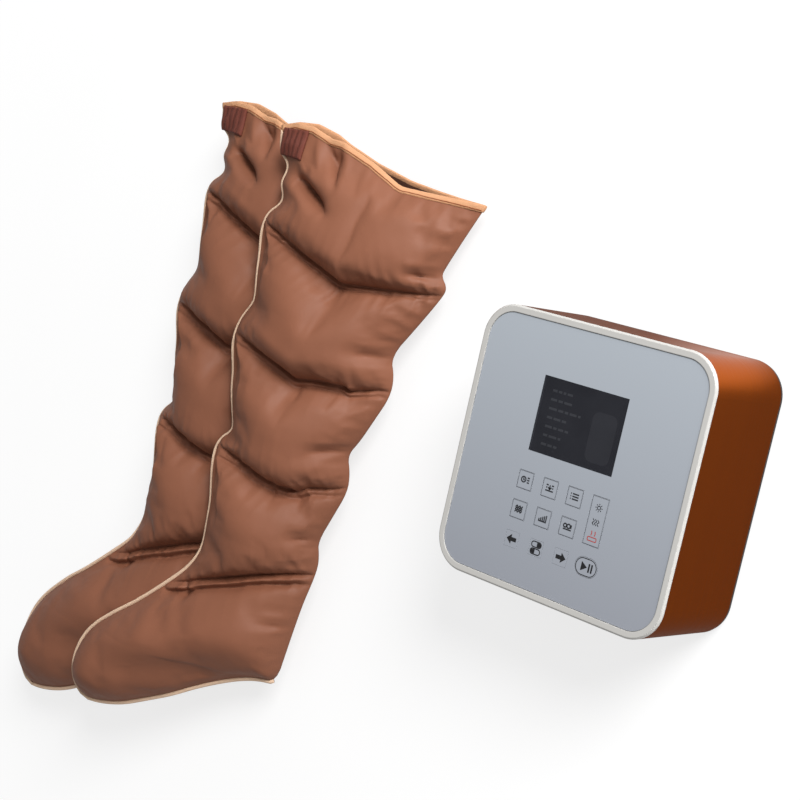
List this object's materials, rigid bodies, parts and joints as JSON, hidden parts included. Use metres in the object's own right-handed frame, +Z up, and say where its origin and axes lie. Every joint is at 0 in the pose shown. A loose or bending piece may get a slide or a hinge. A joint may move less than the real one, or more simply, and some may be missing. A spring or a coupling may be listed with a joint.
{
  "type": "compression therapy pump with leg sleeves",
  "caption": "Rounded-square air compression pump with display, key pad and rotary air distributor, lying face up beside its pair of segmented inflatable leg sleeves.",
  "frame": {"origin": "on the table under the middle of the pump, in the plane its feet stand on", "axes": "+Z up out of the pump face, +Y towards the top of the face, +X to the right of the face; the sleeves lie at -X"},
  "size_m": [0.9439, 0.76, 0.125],
  "materials": {
    "white_plastic": "satin",
    "panel_grey": "satin",
    "key_rubber": "satin",
    "lens_clear": "gloss",
    "lcd_dark": "gloss",
    "circuit_board": "matte",
    "black_plastic": "matte",
    "orange_aluminium": "satin",
    "black_rubber": "matte",
    "silicone": "satin",
    "steel": "satin",
    "magnet_steel": "satin",
    "coil_copper": "satin",
    "sleeve_nylon": "satin",
    "orange_binding": "matte",
    "cream_piping": "matte",
    "tab_webbing": "matte"
  },
  "bodies": {
    "casing": {"front_bezel": "white_plastic", "front_panel": "panel_grey", "lcd_lens": "lens_clear", "lcd_module": "lcd_dark", "display_board": "circuit_board", "key_switches": "black_plastic", "wrap_shell": "orange_aluminium", "back_cover": "black_plastic", "feet": "black_rubber", "cover_screws": "steel", "air_socket_a": "black_plastic", "air_socket_b": "black_plastic", "power_inlet": "black_plastic", "power_switch_frame": "black_plastic", "pump_base": "steel", "pump_mounts": "black_rubber", "pump_coils": "coil_copper", "pump_head_left": "white_plastic", "pump_head_right": "white_plastic", "pump_diaphragm_left": "black_rubber", "pump_diaphragm_right": "black_rubber", "air_line": "white_plastic", "distributor_body": "white_plastic", "distributor_motor": "steel", "port_manifold": "white_plastic", "outlet_ribbon": "silicone", "power_supply_board": "circuit_board", "main_board": "circuit_board", "upper_sleeve_chamber_1": "sleeve_nylon", "upper_sleeve_chamber_2": "sleeve_nylon", "upper_sleeve_chamber_3": "sleeve_nylon", "upper_sleeve_chamber_4": "sleeve_nylon", "upper_sleeve_foot": "sleeve_nylon", "upper_sleeve_rim_binding": "orange_binding", "upper_sleeve_piping": "cream_piping", "upper_sleeve_tab": "tab_webbing", "upper_sleeve_hose_port": "black_plastic", "lower_sleeve_chamber_1": "sleeve_nylon", "lower_sleeve_chamber_2": "sleeve_nylon", "lower_sleeve_chamber_3": "sleeve_nylon", "lower_sleeve_chamber_4": "sleeve_nylon", "lower_sleeve_foot": "sleeve_nylon", "lower_sleeve_rim_binding": "orange_binding", "lower_sleeve_piping": "cream_piping", "lower_sleeve_tab": "tab_webbing", "lower_sleeve_hose_port": "black_plastic"},
    "key_1": {"key_1": "key_rubber"},
    "key_2": {"key_2": "key_rubber"},
    "key_3": {"key_3": "key_rubber"},
    "key_4": {"key_4": "key_rubber"},
    "key_5": {"key_5": "key_rubber"},
    "key_6": {"key_6": "key_rubber"},
    "key_heat": {"key_heat": "key_rubber"},
    "key_left": {"key_left": "key_rubber"},
    "key_mode": {"key_mode": "key_rubber"},
    "key_right": {"key_right": "key_rubber"},
    "key_play": {"key_play": "key_rubber"},
    "power_rocker": {"power_rocker": "black_plastic"},
    "pump_shuttle": {"pump_shuttle": "magnet_steel"},
    "distributor_rotor": {"distributor_rotor": "white_plastic"}
  },
  "joints": [
    {"name": "key_1_press", "type": "slide", "parent": "casing", "child": "key_1", "axis": [0, 0, -1], "range_m": [0, 0.0005], "stiffness_N_per_m": 1500},
    {"name": "key_2_press", "type": "slide", "parent": "casing", "child": "key_2", "axis": [0, 0, -1], "range_m": [0, 0.0005], "stiffness_N_per_m": 1500},
    {"name": "key_3_press", "type": "slide", "parent": "casing", "child": "key_3", "axis": [0, 0, -1], "range_m": [0, 0.0005], "stiffness_N_per_m": 1500},
    {"name": "key_4_press", "type": "slide", "parent": "casing", "child": "key_4", "axis": [0, 0, -1], "range_m": [0, 0.0005], "stiffness_N_per_m": 1500},
    {"name": "key_5_press", "type": "slide", "parent": "casing", "child": "key_5", "axis": [0, 0, -1], "range_m": [0, 0.0005], "stiffness_N_per_m": 1500},
    {"name": "key_6_press", "type": "slide", "parent": "casing", "child": "key_6", "axis": [0, 0, -1], "range_m": [0, 0.0005], "stiffness_N_per_m": 1500},
    {"name": "key_heat_press", "type": "slide", "parent": "casing", "child": "key_heat", "axis": [0, 0, -1], "range_m": [0, 0.0005], "stiffness_N_per_m": 1500},
    {"name": "key_left_press", "type": "slide", "parent": "casing", "child": "key_left", "axis": [0, 0, -1], "range_m": [0, 0.0005], "stiffness_N_per_m": 1500},
    {"name": "key_mode_press", "type": "slide", "parent": "casing", "child": "key_mode", "axis": [0, 0, -1], "range_m": [0, 0.0005], "stiffness_N_per_m": 1500},
    {"name": "key_right_press", "type": "slide", "parent": "casing", "child": "key_right", "axis": [0, 0, -1], "range_m": [0, 0.0005], "stiffness_N_per_m": 1500},
    {"name": "key_play_press", "type": "slide", "parent": "casing", "child": "key_play", "axis": [0, 0, -1], "range_m": [0, 0.0005], "stiffness_N_per_m": 1500},
    {"name": "power_rocker_tilt", "type": "hinge", "parent": "casing", "child": "power_rocker", "pos_m": [-0.126, -0.072, 0.05], "axis": [0, 0, 1], "range_deg": [-8, 8]},
    {"name": "shuttle_stroke", "type": "slide", "parent": "casing", "child": "pump_shuttle", "axis": [1, 0, 0], "range_m": [-0.002, 0.002], "stiffness_N_per_m": 2500},
    {"name": "rotor_turn", "type": "hinge", "parent": "casing", "child": "distributor_rotor", "pos_m": [-0.066, 0.039, 0.05], "axis": [0, 0, 1], "continuous": true}
  ]
}
